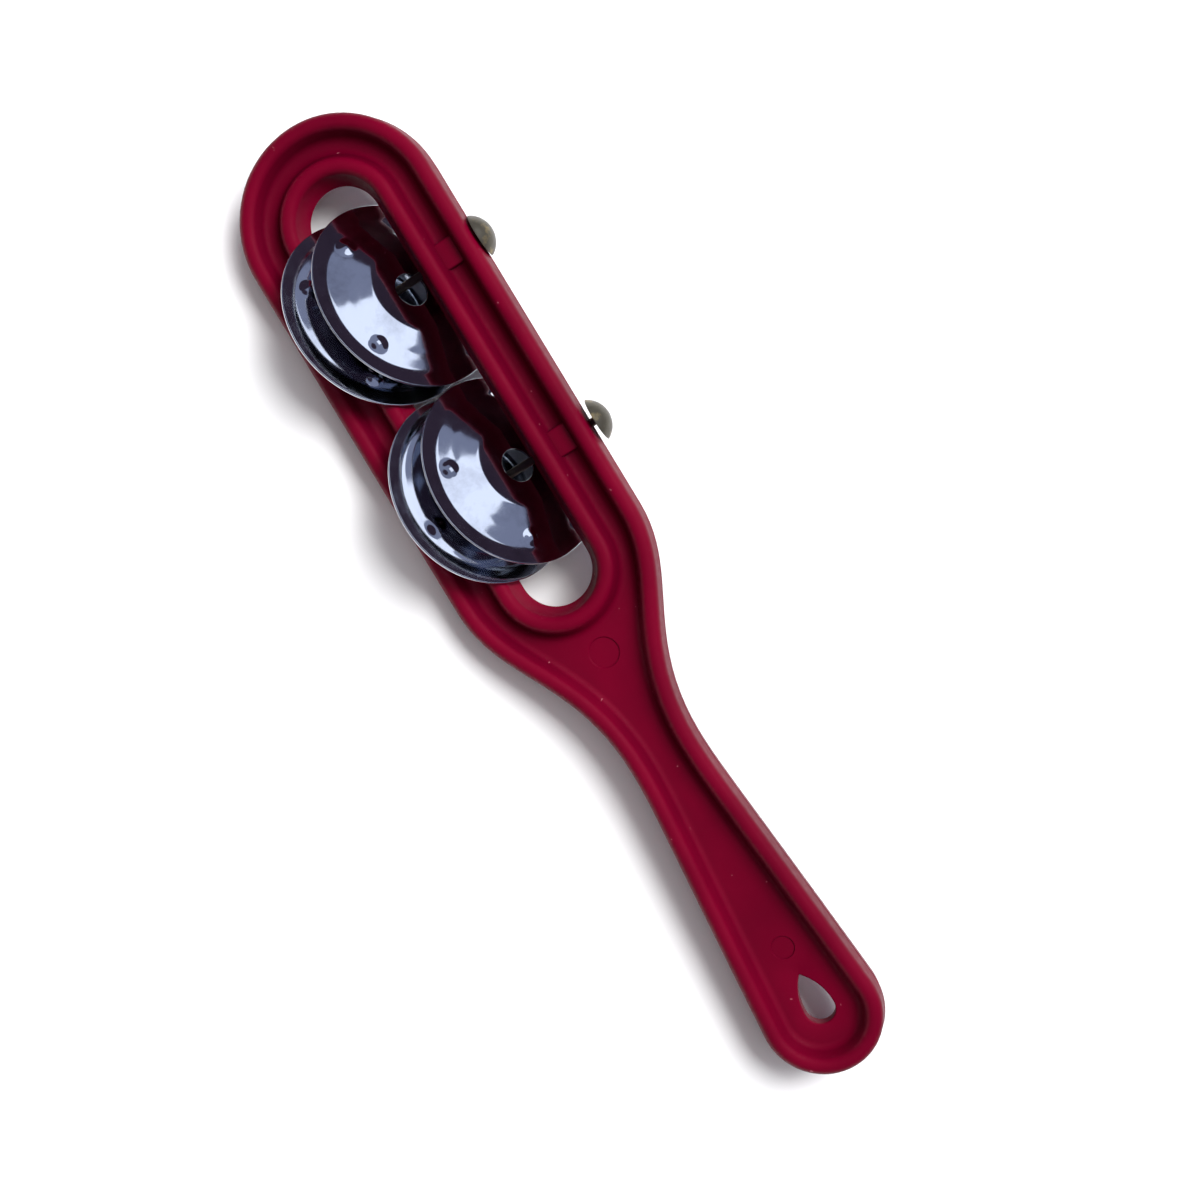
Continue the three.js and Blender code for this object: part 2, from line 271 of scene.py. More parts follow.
class StudioSizes(bpy.types.PropertyGroup):
    """The camera and the table"""

    distance: length("Camera distance", "From the stick to the camera", 290)
    picture_width: length("Picture width", "What the picture spans at the stick", 238)
    tilt: angle("Camera tilt", "From the stick's face towards the nail caps", 11)
    turn: angle("Camera turn", "From the picture's horizontal to the stick", 58.8)
    table: length("Table", "Across the table top", 1100)
    aim_across: length("Aim across", "From the stick's middle to the picture's", 4.5)
    aim_along: length("Aim along", "From the stick's middle to the picture's", -3.3)


class HandJingle(bpy.types.PropertyGroup):
    """Everything that can be set"""

    stick: PointerProperty(type=StickSizes)
    nail: PointerProperty(type=NailSizes)
    jingle: PointerProperty(type=JingleSizes)
    finish: PointerProperty(type=Finishes)
    studio: PointerProperty(type=StudioSizes)


# The colour sockets of a Mix node, which share their names with its other sockets
MIX_A, MIX_B, MIX_RESULT = 6, 7, 2


def add_node(owner, kind, inputs=None, **settings):
    """Adds one shader node to a material or world. An input is a value or another node's output."""
    node = owner.node_tree.nodes.new(kind)
    for name, value in settings.items():
        setattr(node, name, value)
    for name, value in (inputs or {}).items():
        socket = node.inputs[name]
        if isinstance(value, bpy.types.NodeSocket):
            owner.node_tree.links.new(value, socket)
        elif socket.type == "RGBA":
            socket.default_value = (*value, 1)
        else:
            socket.default_value = value
    return node


def new_material(name):
    material = bpy.data.materials.new(name)
    material.use_nodes = True
    material.node_tree.nodes.clear()
    return material


def per_mm(millimetres):
    """The texture scale that makes a pattern's features this large."""
    return 1 / (millimetres * MM)


def moulded_plastic(colours):
    """Injection-moulded polypropylene: an even crimson with a soft shine, a slight ripple from the
    mould, painted shade in the hollows, dirt in patches, a few pale nicks and fine scuffs from handling."""
    material = new_material("moulded_polypropylene_crimson")
    place = add_node(material, "ShaderNodeTexCoord").outputs["Object"]
    patches = add_node(material, "ShaderNodeTexNoise", {"Vector": place, "Scale": per_mm(22), "Detail": 3})
    dirt = add_node(material, "ShaderNodeMapRange", {
        "Value": patches.outputs["Fac"], "From Min": 0.35, "From Max": 0.75, "To Max": 0.4,
    })
    patched = add_node(material, "ShaderNodeMix", {
        "Factor": dirt.outputs["Result"], MIX_A: colours.plastic, MIX_B: colours.plastic_dirt_and_shade,
    }, data_type="RGBA")
    # Painted shade: the plastic is darkened towards its dark colour where its own shape closes round it, in
    # the hollows, corners and slot
    openness = add_node(
        material, "ShaderNodeAmbientOcclusion", {"Distance": 9 * MM}, samples=8, only_local=True,
    )
    painted_shade = add_node(material, "ShaderNodeMapRange", {
        "Value": openness.outputs["AO"], "From Min": 0.4, "From Max": 0.97, "To Min": 0.85, "To Max": 0.0,
    })
    base = add_node(material, "ShaderNodeMix", {
        "Factor": painted_shade.outputs["Result"], MIX_A: patched.outputs[MIX_RESULT],
        MIX_B: colours.plastic_dirt_and_shade,
    }, data_type="RGBA")
    specks = add_node(material, "ShaderNodeTexNoise", {"Vector": place, "Scale": per_mm(1.8), "Detail": 2})
    nicked = add_node(material, "ShaderNodeMapRange", {
        "Value": specks.outputs["Fac"], "From Min": 0.76, "From Max": 0.8, "To Max": 0.7,
    })
    worn = add_node(material, "ShaderNodeMix", {
        "Factor": nicked.outputs["Result"], MIX_A: base.outputs[MIX_RESULT], MIX_B: colours.plastic_nick,
    }, data_type="RGBA")
    scuffs = add_node(material, "ShaderNodeTexNoise", {
        "Vector": place, "Scale": per_mm(1.6), "Detail": 6, "Roughness": 0.7, "Distortion": 0.6,
    })
    shine = add_node(material, "ShaderNodeMapRange", {
        "Value": scuffs.outputs["Fac"], "From Min": 0.3, "From Max": 0.75, "To Min": 0.42, "To Max": 0.6,
    })
    ripple = add_node(material, "ShaderNodeTexNoise", {"Vector": place, "Scale": per_mm(7)})
    rippled = add_node(material, "ShaderNodeBump", {
        "Height": ripple.outputs["Fac"], "Strength": 0.15, "Distance": 0.4 * MM,
    })
    grain = add_node(material, "ShaderNodeTexNoise", {"Vector": place, "Scale": per_mm(0.35), "Detail": 3})
    grained = add_node(material, "ShaderNodeBump", {
        "Height": grain.outputs["Fac"], "Strength": 0.12, "Distance": 0.03 * MM,
        "Normal": rippled.outputs["Normal"],
    })
    shader = add_node(material, "ShaderNodeBsdfPrincipled", {
        "Base Color": worn.outputs[MIX_RESULT], "Roughness": shine.outputs["Result"], "IOR": 1.49,
        "Specular IOR Level": 0.22, "Normal": grained.outputs["Normal"],
    })
    add_node(material, "ShaderNodeOutputMaterial", {"Surface": shader.outputs["BSDF"]})
    return material


def plated_steel(colours):
    """Pressed steel sheet with bright nickel plate: a mirror, slightly wavy where the press drew it,
    with fine scratches and a few dull patches."""
    material = new_material("pressed_steel_nickel_plated")
    place = add_node(material, "ShaderNodeTexCoord").outputs["Object"]
    patches = add_node(material, "ShaderNodeTexNoise", {
        "Vector": place, "Scale": per_mm(9), "Detail": 5, "Roughness": 0.65,
    })
    dulled = add_node(material, "ShaderNodeMapRange", {
        "Value": patches.outputs["Fac"], "From Min": 0.5, "From Max": 0.8, "To Max": 0.6,
    })
    base = add_node(material, "ShaderNodeMix", {
        "Factor": dulled.outputs["Result"], MIX_A: colours.steel, MIX_B: colours.steel_dull,
    }, data_type="RGBA")
    haze = add_node(material, "ShaderNodeTexNoise", {
        "Vector": place, "Scale": per_mm(3), "Detail": 6, "Roughness": 0.7,
    })
    shine = add_node(material, "ShaderNodeMapRange", {
        "Value": haze.outputs["Fac"], "From Min": 0.35, "From Max": 0.8, "To Min": 0.05, "To Max": 0.15,
    })
    wave = add_node(material, "ShaderNodeTexNoise", {"Vector": place, "Scale": per_mm(8), "Detail": 1})
    waved = add_node(material, "ShaderNodeBump", {
        "Height": wave.outputs["Fac"], "Strength": 0.2, "Distance": 0.15 * MM,
    })
    scratch = add_node(material, "ShaderNodeTexNoise", {
        "Vector": place, "Scale": per_mm(0.7), "Detail": 4, "Roughness": 0.7, "Distortion": 1.5,
    })
    scratched = add_node(material, "ShaderNodeBump", {
        "Height": scratch.outputs["Fac"], "Strength": 0.08, "Distance": 0.02 * MM,
        "Normal": waved.outputs["Normal"],
    })
    shader = add_node(material, "ShaderNodeBsdfPrincipled", {
        "Base Color": base.outputs[MIX_RESULT], "Metallic": 1.0, "Roughness": shine.outputs["Result"],
        "Normal": scratched.outputs["Normal"],
    })
    add_node(material, "ShaderNodeOutputMaterial", {"Surface": shader.outputs["BSDF"]})
    return material


def tarnished_brass(colours):
    """Stamped brass under a film of tarnish: dull olive, half as bright as bare metal, faintly
    dented and rubbed yellow in spots."""
    material = new_material("stamped_brass_tarnished")
    place = add_node(material, "ShaderNodeTexCoord").outputs["Object"]
    spots = add_node(material, "ShaderNodeTexNoise", {
        "Vector": place, "Scale": per_mm(3.2), "Detail": 4, "Roughness": 0.6,
    })
    worn = add_node(material, "ShaderNodeMapRange", {
        "Value": spots.outputs["Fac"], "From Min": 0.56, "From Max": 0.74,
    })
    base = add_node(material, "ShaderNodeMix", {
        "Factor": worn.outputs["Result"], MIX_A: colours.brass, MIX_B: colours.brass_worn,
    }, data_type="RGBA")
    film = add_node(material, "ShaderNodeTexNoise", {
        "Vector": place, "Scale": per_mm(1.1), "Detail": 5, "Roughness": 0.7,
    })
    shine = add_node(material, "ShaderNodeMapRange", {
        "Value": film.outputs["Fac"], "From Min": 0.3, "From Max": 0.75, "To Min": 0.3, "To Max": 0.52,
    })
    dents = add_node(material, "ShaderNodeTexNoise", {"Vector": place, "Scale": per_mm(1.6), "Detail": 3})
    dented = add_node(material, "ShaderNodeBump", {
        "Height": dents.outputs["Fac"], "Strength": 0.35, "Distance": 0.2 * MM,
    })
    shader = add_node(material, "ShaderNodeBsdfPrincipled", {
        "Base Color": base.outputs[MIX_RESULT], "Metallic": 0.55, "Roughness": shine.outputs["Result"],
        "Normal": dented.outputs["Normal"],
    })
    add_node(material, "ShaderNodeOutputMaterial", {"Surface": shader.outputs["BSDF"]})
    return material


def drawn_wire(colours):
    """Drawn steel wire: grey-brown, with fine lines along it."""
    material = new_material("drawn_steel_wire")
    place = add_node(material, "ShaderNodeTexCoord").outputs["Object"]
    drawn = add_node(material, "ShaderNodeMapping", {"Vector": place, "Scale": (0.08, 1, 1)})
    lines = add_node(material, "ShaderNodeTexNoise", {
        "Vector": drawn.outputs["Vector"], "Scale": per_mm(0.3), "Detail": 3,
    })
    shine = add_node(material, "ShaderNodeMapRange", {
        "Value": lines.outputs["Fac"], "From Min": 0.3, "From Max": 0.7, "To Min": 0.3, "To Max": 0.55,
    })
    grooved = add_node(material, "ShaderNodeBump", {
        "Height": lines.outputs["Fac"], "Strength": 0.3, "Distance": 0.05 * MM,
    })
    shader = add_node(material, "ShaderNodeBsdfPrincipled", {
        "Base Color": colours.wire, "Metallic": 1.0, "Roughness": shine.outputs["Result"],
        "Normal": grooved.outputs["Normal"],
    })
    add_node(material, "ShaderNodeOutputMaterial", {"Surface": shader.outputs["BSDF"]})
    return material


def table_top():
    """Matt white board: pale and even, with a trace of tooth."""
    material = new_material("matt_white_board")
    place = add_node(material, "ShaderNodeTexCoord").outputs["Object"]
    tooth = add_node(material, "ShaderNodeTexNoise", {"Vector": place, "Scale": per_mm(3), "Detail": 3})
    shine = add_node(material, "ShaderNodeMapRange", {
        "Value": tooth.outputs["Fac"], "From Min": 0.3, "From Max": 0.7, "To Min": 0.85, "To Max": 0.95,
    })
    shader = add_node(material, "ShaderNodeBsdfPrincipled", {
        "Base Color": linear("#f4f4f4"), "Roughness": shine.outputs["Result"], "Specular IOR Level": 0.1,
    })
    add_node(material, "ShaderNodeOutputMaterial", {"Surface": shader.outputs["BSDF"]})
    return material


def shade(mesh):
    """Shades a mesh smooth and keeps its sharp edges."""
    mesh.shade_smooth()
    mesh.set_sharp_from_angle(angle=SMOOTH_ANGLE)


def new_piece(name, bm, material):
    """Turns a bmesh into an object at the origin."""
    mesh = bpy.data.meshes.new(name)
    bm.to_mesh(mesh)
    bm.free()
    mesh.materials.append(material)
    shade(mesh)
    piece = bpy.data.objects.new(name, mesh)
    bpy.context.scene.collection.objects.link(piece)
    return piece


def stand_for(piece, node, body):
    """Shows a piece in place of a solid, on the solid's body."""
    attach(piece, body)
    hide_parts(node)


def add_loop(bm, knots, height=0.0):
    """Adds a closed loop of edges through Bezier knots, each given as (point, handle in, handle out)."""
    points = []
    for (start, _, leave), (end, arrive, _) in zip(knots, knots[1:] + knots[:1]):
        curve = [Vector(point) for point in (start, leave, arrive, end)]
        points += interpolate_bezier(*curve, CURVE_STEPS)[:-1]
    verts = [bm.verts.new((point.x, point.y, height)) for point in points]
    return [bm.edges.new(pair) for pair in zip(verts, verts[1:] + verts[:1])]


def mirrored(knots):
    """The same knots on the other side of the stick, in the order that closes the outline."""
    def flip(point):
        return (-point[0], point[1])
    return [(flip(point), flip(leave), flip(arrive)) for point, arrive, leave in reversed(knots)]


def stick_outline(sizes):
    """The stick's outline, anticlockwise from the head's tip."""
    tip_y = STICK_LENGTH / 2
    radius = sizes.head_width / 2
    handle = radius * QUARTER_ARC
    head_y = tip_y - radius
    shoulder_y = tip_y - sizes.shoulder
    turn_y = shoulder_y - sizes.shoulder_ease
    straight = (head_y - shoulder_y) / 3
    neck_x, neck_y = sizes.neck_width / 2, tip_y - sizes.neck
    end_radius = sizes.grip_width / 2
    end_y = -tip_y + end_radius
    flare = sizes.grip_flare
    touch = Vector((-end_radius * math.cos(flare), end_y + end_radius * math.sin(flare)))
    down = Vector((-math.sin(flare), -math.cos(flare)))
    flare_x = -touch.x - sizes.grip_side * math.tan(flare)
    end_handle = end_radius * arc_handle(math.pi / 2 + flare)
    left = [
        ((-radius, head_y), (-radius, head_y + handle), (-radius, head_y - straight)),
        ((-radius, shoulder_y), (-radius, shoulder_y + straight), (-radius, turn_y)),
        ((-neck_x, neck_y), (-neck_x, neck_y + sizes.neck_ease), (-neck_x, neck_y - sizes.grip_ease)),
        (tuple(touch), (-flare_x, touch.y + sizes.grip_side), tuple(touch + down * end_handle)),
    ]
    tip = ((0, tip_y), (handle, tip_y), (-handle, tip_y))
    end = ((0, -tip_y), (-end_handle, -tip_y), (end_handle, -tip_y))
    return [tip, *left, end, *mirrored(left)]


def slot_spine(sizes):
    """The ends of the line along the slot's middle, between the middles of its round ends."""
    tip_y = STICK_LENGTH / 2
    return tip_y - sizes.head_width / 2, tip_y - sizes.slot_end + sizes.slot_width / 2


def slot_outline(sizes):
    radius = sizes.slot_width / 2
    handle = radius * QUARTER_ARC
    upper_y, lower_y = slot_spine(sizes)
    straight = (upper_y - lower_y) / 3
    left = [
        ((-radius, upper_y), (-radius, upper_y + handle), (-radius, upper_y - straight)),
        ((-radius, lower_y), (-radius, lower_y + straight), (-radius, lower_y - handle)),
    ]
    tip = ((0, upper_y + radius), (handle, upper_y + radius), (-handle, upper_y + radius))
    end = ((0, lower_y - radius), (-handle, lower_y - radius), (handle, lower_y - radius))
    return [tip, *left, end, *mirrored(left)]


def hang_hole_outline(sizes):
    """An egg with full sides that meet in a point towards the head."""
    radius = sizes.hole_width / 2
    handle = radius * QUARTER_ARC
    middle_y = -STICK_LENGTH / 2 + sizes.hole_inset
    point_y = middle_y + sizes.hole_reach
    fullness = sizes.hole_reach * HOLE_FULLNESS
    left = [((-radius, middle_y), (-radius, middle_y + fullness), (-radius, middle_y - handle))]
    tip_x, tip_y = radius * HOLE_TIP_WIDTH, point_y - sizes.hole_reach * HOLE_TIP_DROP
    tip = ((0, point_y), (tip_x, tip_y), (-tip_x, tip_y))
    end_y = middle_y - radius
    end = ((0, end_y), (-handle, end_y), (handle, end_y))
    return [tip, *left, end, *mirrored(left)]


def circle_outline(y, radius):
    """A circle on the stick's middle line."""
    handle = radius * QUARTER_ARC
    return [
        ((0, y + radius), (handle, y + radius), (-handle, y + radius)),
        ((-radius, y), (-radius, y + handle), (-radius, y - handle)),
        ((0, y - radius), (-handle, y - radius), (handle, y - radius)),
        ((radius, y), (radius, y - handle), (radius, y + handle)),
    ]


def bend_steps(radius, start, end, steps):
    """Moves (inwards, up) round an arc whose direction turns from one angle above level to another."""
    angles = [start + (end - start) * i / steps for i in range(steps + 1)]
    turn = 1 if start > end else -1
    return [
        (radius * abs(math.sin(b) - math.sin(a)), radius * turn * (math.cos(b) - math.cos(a)))
        for a, b in zip(angles, angles[1:])
    ]


def rim_steps(sizes):
    """How the surface moves inwards and up from the parting line, over a rim and down to the floor."""
    half = sizes.thickness / 2
    over = bend_steps(sizes.rim_round, math.pi / 2, 0, ROUND_STEPS)
    down = bend_steps(sizes.rim_round, 0, -sizes.wall_angle, ROUND_STEPS)
    fillet = bend_steps(sizes.floor_fillet, -sizes.wall_angle, 0, FILLET_STEPS)
    side = [(sizes.flash, sizes.flash), (sizes.side_draft, half - sizes.rim_round - sizes.flash)]
    top = sizes.rim_width - sum(inward for inward, _ in side + over + down)
    drop = half - WEB_HALF + sum(rise for _, rise in down + fillet)
    return [
        *side, *over, (top, 0.0), *down, (drop / math.tan(sizes.wall_angle), -drop), *fillet,
    ]


def taper_slot(bm, sizes):
    """Draws the slot's wall in where it meets the parting line."""
    radius = sizes.slot_width / 2
    upper_y, lower_y = slot_spine(sizes)
    near = 2 * sizes.flash
    for vert in bm.verts:
        spine = Vector((0, min(max(vert.co.y, lower_y), upper_y)))
        away = vert.co.xy - spine
        if vert.co.z < near and away.length < radius + near:
            vert.co.xy -= away.normalized() * sizes.slot_draft


def half_stick(sizes):
    """The upper half of the stick, open at its middle plane."""
    bm = bmesh.new()
    edges = add_loop(bm, stick_outline(sizes)) + add_loop(bm, slot_outline(sizes))
    filled = bmesh.ops.triangle_fill(bm, use_beauty=True, edges=edges, normal=(0, 0, 1))
    region = [item for item in filled["geom"] if isinstance(item, bmesh.types.BMFace)]
    bm.normal_update()
    if region[0].normal.z < 0:
        bmesh.ops.reverse_faces(bm, faces=region)
    for inward, rise in rim_steps(sizes):
        bmesh.ops.inset_region(
            bm, faces=region, thickness=inward, depth=rise, use_boundary=True, use_even_offset=True,
        )
    taper_slot(bm, sizes)
    inside = set(region)
    border = [e for f in region for e in f.edges if sum(g in inside for g in e.link_faces) == 1]
    bmesh.ops.delete(bm, geom=region, context="FACES")
    border = [e for e in border if e.is_valid]
    for edge in border:
        for vert in edge.verts:
            vert.co.z = WEB_HALF
    hole = add_loop(bm, hang_hole_outline(sizes), WEB_HALF)
    marks = [add_loop(bm, circle_outline(y, radius), WEB_HALF) for y, radius in PIN_MARKS]
    loops = border + hole + [e for mark in marks for e in mark]
    bmesh.ops.triangle_fill(bm, use_beauty=True, edges=loops, normal=(0, 0, 1))
    wall = bmesh.ops.extrude_edge_only(bm, edges=hole)["geom"]
    lowered = [v for v in wall if isinstance(v, bmesh.types.BMVert)]
    bmesh.ops.translate(bm, verts=lowered, vec=(0, 0, -WEB_HALF))
    bmesh.ops.bevel(
        bm, geom=hole, offset=sizes.hole_edge, affect="EDGES", segments=EDGE_SEGMENTS,
        profile=0.5, material=-1,
    )
    for (y, _), mark in zip(PIN_MARKS, marks):
        sunk = bmesh.ops.extrude_edge_only(bm, edges=[e for e in mark if e.is_valid])["geom"]
        verts = [v for v in sunk if isinstance(v, bmesh.types.BMVert)]
        middle = Matrix.Translation((0, y, WEB_HALF))
        bmesh.ops.scale(bm, vec=(PIN_MARK_TAPER, PIN_MARK_TAPER, 1), space=middle.inverted(), verts=verts)
        bmesh.ops.translate(bm, verts=verts, vec=(0, 0, -sizes.pin_mark_depth))
        bmesh.ops.contextual_create(bm, geom=[
            e for e in sunk if isinstance(e, bmesh.types.BMEdge) and all(v in verts for v in e.verts)
        ])
    return bm


def nail_pads(sizes):
    """Blocks across the hollows where the nails go through."""
    bm = bmesh.new()
    inner = sizes.slot_width / 2 + sizes.rim_width / 2
    outer = sizes.head_width / 2 - sizes.rim_width / 2
    for nail in NAILS:
        for side in (1, -1):
            place = Matrix.Translation((side * (inner + outer) / 2, nail_y(nail), 0))
            scale = Matrix.Diagonal((outer - inner, sizes.pad_length, sizes.pad_thickness, 1))
            made = bmesh.ops.create_cube(bm, size=1, matrix=place @ scale)
            edges = {e for v in made["verts"] for e in v.link_edges}
            bmesh.ops.bevel(
                bm, geom=list(edges), offset=sizes.pad_round, affect="EDGES", segments=EDGE_SEGMENTS,
                profile=0.5, material=-1,
            )
    return bm


class HANDJINGLE_OT_stick(bpy.types.Operator):
    """Mould the stick"""

    bl_idname = "hand_jingle.stick"
    bl_label = "Stick"

    def execute(self, context):
        props = context.scene.hand_jingle
        plastic = moulded_plastic(props.finish)
        bm = half_stick(props.stick)
        upper_half = bm.verts[:] + bm.edges[:] + bm.faces[:]
        bmesh.ops.mirror(bm, geom=upper_half, axis="Z", merge_dist=MERGE_DISTANCE)
        bmesh.ops.remove_doubles(bm, verts=bm.verts[:], dist=MERGE_DISTANCE)
        bmesh.ops.recalc_face_normals(bm, faces=bm.faces[:])
        bmesh.ops.transform(bm, matrix=STICK, verts=bm.verts[:])
        piece = new_piece("moulded_stick", bm, plastic)

        pads = nail_pads(props.stick)
        bmesh.ops.transform(pads, matrix=STICK, verts=pads.verts[:])
        blocks = new_piece("nail_pads", pads, plastic)
        join = piece.modifiers.new("nail_pads", "BOOLEAN")
        join.operation = "UNION"
        join.solver = "EXACT"
        join.object = blocks
        context.view_layer.update()
        solid = piece.evaluated_get(context.evaluated_depsgraph_get())
        mesh = bpy.data.meshes.new_from_object(solid)
        mesh.name = "moulded_stick"
        piece.modifiers.clear()
        piece.data = mesh
        bpy.data.objects.remove(blocks)
        shade(mesh)
        stand_for(piece, "handle_frame", "stick")
        return {"FINISHED"}


def profile_edges(bm, points):
    """Edges through points given as (distance from the axis, height), in the XZ plane."""
    verts = [bm.verts.new((x, 0, z)) for x, z in points]
    return [bm.edges.new(pair) for pair in zip(verts, verts[1:])]


def turned(points, steps):
    """A body of revolution about Z."""
    bm = bmesh.new()
    edges = profile_edges(bm, points)
    verts = list({v for e in edges for v in e.verts})
    bmesh.ops.spin(
        bm, geom=verts + edges, cent=(0, 0, 0), axis=(0, 0, 1), angle=2 * math.pi, steps=steps,
        use_merge=True,
    )
    bmesh.ops.remove_doubles(bm, verts=bm.verts[:], dist=MERGE_DISTANCE)
    bmesh.ops.recalc_face_normals(bm, faces=bm.faces[:])
    return bm


def dome_radius(base, height):
    return (base ** 2 + height ** 2) / (2 * height)


def dome(base, height, level, steps):
    """Points of a dome from its top on the axis to its edge, with its base at a level."""
    radius = dome_radius(base, height)
    half = math.asin(base / radius)
    return [
        (radius * math.sin(half * i / steps), radius * math.cos(half * i / steps) - radius + height + level)
        for i in range(steps + 1)
    ]


def nail_place(stick, sizes, nail):
    """The middle of a cap's edge in the stick's frame, with the nail's axis as Z."""
    standoff = getattr(sizes, f"{nail}_standoff")
    middle = Matrix.Translation((stick.head_width / 2 + standoff, nail_y(nail), 0))
    return middle @ Matrix.Rotation(math.pi / 2, 4, "Y")


class HANDJINGLE_OT_caps(bpy.types.Operator):
    """Stamp the nails' caps"""

    bl_idname = "hand_jingle.caps"
    bl_label = "Nail caps"

    def execute(self, context):
        props = context.scene.hand_jingle
        sizes = props.nail
        brass = tarnished_brass(props.finish)
        radius = sizes.cap_diameter / 2
        outer = dome(radius, sizes.cap_height, 0, CAP_CURVE_STEPS)
        inner = dome(radius - sizes.cap_sheet, sizes.cap_height - sizes.cap_sheet, 0, CAP_CURVE_STEPS)
        for nail in NAILS:
            bm = turned(outer + inner[::-1], CAP_STEPS)
            rim = [e for e in bm.edges if e.calc_face_angle(0) > CAP_EDGE_ANGLE]
            bmesh.ops.bevel(
                bm, geom=rim, offset=sizes.cap_edge, affect="EDGES", segments=EDGE_SEGMENTS,
                profile=0.5, material=-1,
            )
            place = nail_place(props.stick, sizes, nail)
            bmesh.ops.transform(bm, matrix=STICK @ place, verts=bm.verts[:])
            piece = new_piece(f"{nail}_cap_dome", bm, brass)
            stand_for(piece, f"{nail}_nail_cap", "stick")
        return {"FINISHED"}


class HANDJINGLE_OT_shanks(bpy.types.Operator):
    """Draw the nails' shanks"""

    bl_idname = "hand_jingle.shanks"
    bl_label = "Nail shanks"

    def execute(self, context):
        props = context.scene.hand_jingle
        sizes = props.nail
        wire = drawn_wire(props.finish)
        radius = sizes.wire_diameter / 2
        head = sizes.head_diameter / 2
        inside = sizes.cap_height - sizes.cap_sheet
        bend = dome_radius(sizes.cap_diameter / 2 - sizes.cap_sheet, inside) - sizes.seat
        crown = bend - math.sqrt(bend ** 2 - head ** 2)
        brim = inside - sizes.seat - crown
        foot = brim - sizes.head_thickness
        for nail in NAILS:
            place = nail_place(props.stick, sizes, nail)
            end = -place.translation.x - props.stick.slot_width / 2 - sizes.bite
            points = [
                *dome(head, crown, brim, CAP_CURVE_STEPS), (head, foot), (radius, foot),
                (radius, end + sizes.point_length), (0, end),
            ]
            bm = turned(points, WIRE_STEPS)
            bmesh.ops.transform(bm, matrix=STICK @ place, verts=bm.verts[:])
            piece = new_piece(f"{nail}_nail_wire", bm, wire)
            stand_for(piece, f"{nail}_nail_shank", "stick")
        return {"FINISHED"}


def disc_profile(sizes):
    """The middle line of a jingle's sheet from its hole out to its edge."""
    top = sizes.top / 2
    outer = sizes.diameter / 2
    flange = outer - sizes.flange
    slope_start, slope_end = top + sizes.bend_run, flange - sizes.bend_run
    slope = sizes.depth / (flange - top - sizes.bend_run)
    bend_drop = slope * sizes.bend_run / 2
    knots = [
        (sizes.hole / 2, 0.0, 0.0),
        (top, 0.0, 0.0),
        (slope_start, -bend_drop, -slope),
        (slope_end, bend_drop - sizes.depth, -slope),
        (flange, -sizes.depth, 0.0),
        (outer, -sizes.depth, 0.0),
    ]
    points = []
    for (x, z, rise), (next_x, next_z, next_rise) in zip(knots, knots[1:]):
        reach = (next_x - x) / 3
        points += interpolate_bezier(
            Vector((x, z)), Vector((x + reach, z + rise * reach)),
            Vector((next_x - reach, next_z - next_rise * reach)), Vector((next_x, next_z)),
            round((next_x - x) / DISC_STEP_LENGTH) + 2,
        )[:-1]
    return [tuple(p) for p in points] + [(outer, -sizes.depth)]


def press_bumps(bm, sizes):
    """Sinks a faint ring into the slope of a jingle and raises round bumps on it."""
    for vert in bm.verts:
        across = (vert.co.xy.length - sizes.ring / 2) / (sizes.ring_width / 2)
        vert.co.z -= sizes.ring_depth * math.exp(-across ** 2)
    radius = sizes.bump_diameter / 2
    for i in range(BUMP_COUNT):
        turn = 2 * math.pi * i / BUMP_COUNT
        middle = Vector((math.cos(turn), math.sin(turn))) * sizes.bump_circle / 2
        for vert in bm.verts:
            near = (vert.co.xy - middle).length / radius
            if near < 1:
                vert.co.z += sizes.bump_height * (0.5 + 0.5 * math.cos(math.pi * near))


class HANDJINGLE_OT_jingles(bpy.types.Operator):
    """Press the jingles and hang them on their nails"""

    bl_idname = "hand_jingle.jingles"
    bl_label = "Jingles"

    def execute(self, context):
        props = context.scene.hand_jingle
        sizes = props.jingle
        steel = plated_steel(props.finish)
        leans = {"front": sizes.front_lean, "back": sizes.back_lean}
        for nail in NAILS:
            for side in SIDES:
                lean = leans[side]
                lift = sizes.front_lift if side == "front" else getattr(sizes, f"{nail}_back_lift")
                swing = swing_place(nail, side)
                bm = turned(disc_profile(sizes), DISC_STEPS)
                press_bumps(bm, sizes)
                place = Matrix.Translation((
                    swing.x - lift * math.cos(lean), swing.y, lift * math.sin(lean),
                ))
                spun = Matrix.Rotation(math.radians(BUMP_TURNS[nail, side]), 4, "Z")
                bmesh.ops.transform(
                    bm, matrix=STICK @ place @ Matrix.Rotation(lean, 4, "Y") @ spun, verts=bm.verts[:],
                )
                piece = new_piece(f"{nail}_{side}_disc", bm, steel)
                wall = piece.modifiers.new("sheet", "SOLIDIFY")
                wall.thickness = sizes.sheet
                wall.offset = 0
                edge = piece.modifiers.new("cut_edges", "BEVEL")
                edge.width = sizes.edge_round
                edge.segments = CUT_EDGE_SEGMENTS
                edge.angle_limit = CUT_EDGE_ANGLE
                stand_for(piece, f"{nail}_{side}_jingle", f"{nail}_{side}")
        return {"FINISHED"}


def picture_axes(studio):
    """Right, up and towards-the-camera directions of the picture."""
    across = STICK.to_3x3() @ Vector((1, 0, 0))
    out = STICK.to_3x3() @ Vector((0, 0, 1))
    along = Vector((0, 1, 0))
    back = (out * math.cos(studio.tilt) + across * math.sin(studio.tilt)).normalized()
    side = along.cross(back).normalized()
    right = side * math.sin(studio.turn) - along * math.cos(studio.turn)
    up = side * math.cos(studio.turn) + along * math.sin(studio.turn)
    return right, up, back


